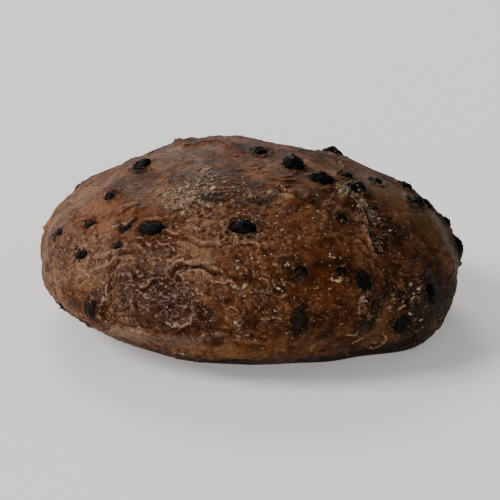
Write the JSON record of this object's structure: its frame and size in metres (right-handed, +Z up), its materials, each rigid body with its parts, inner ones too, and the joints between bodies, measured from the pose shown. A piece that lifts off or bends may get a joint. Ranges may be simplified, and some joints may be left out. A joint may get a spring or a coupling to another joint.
{
  "type": "country loaf",
  "caption": "Low round country loaf, baked whole, with a dark wrinkled floury crust and raisins set in it.",
  "frame": {"origin": "centre of the loaf's outline, on the plane of its flat base", "axes": "+Z up from the base, +X to the right along the loaf's longer width, -Y towards the shown front"},
  "size_m": [0.2206, 0.2074, 0.0908],
  "materials": {
    "crust": "matte dark-baked wheat crust, wrinkled, dusted with coarse flour",
    "raisin": "dried raisin skin, near black, dull sheen on its wrinkles"
  },
  "bodies": {
    "root": {"loaf": "crust", "raisin_01": "raisin", "raisin_02": "raisin", "raisin_03": "raisin", "raisin_04": "raisin", "raisin_05": "raisin", "raisin_06": "raisin", "raisin_07": "raisin", "raisin_08": "raisin", "raisin_09": "raisin", "raisin_10": "raisin", "raisin_11": "raisin", "raisin_12": "raisin", "raisin_13": "raisin", "raisin_14": "raisin", "raisin_15": "raisin", "raisin_16": "raisin", "raisin_17": "raisin", "raisin_18": "raisin", "raisin_19": "raisin", "raisin_20": "raisin", "raisin_21": "raisin", "raisin_22": "raisin", "raisin_23": "raisin", "raisin_24": "raisin", "raisin_25": "raisin", "raisin_26": "raisin", "raisin_27": "raisin", "raisin_28": "raisin", "raisin_29": "raisin", "raisin_30": "raisin", "raisin_31": "raisin", "raisin_32": "raisin", "raisin_33": "raisin", "raisin_34": "raisin", "raisin_35": "raisin", "raisin_36": "raisin", "raisin_37": "raisin", "raisin_38": "raisin", "raisin_39": "raisin", "raisin_40": "raisin", "raisin_41": "raisin", "raisin_42": "raisin", "raisin_43": "raisin", "raisin_44": "raisin", "raisin_45": "raisin", "raisin_46": "raisin", "raisin_47": "raisin", "raisin_48": "raisin", "raisin_49": "raisin", "raisin_50": "raisin", "raisin_51": "raisin", "raisin_52": "raisin", "raisin_53": "raisin", "raisin_54": "raisin"}
  },
  "joints": []
}
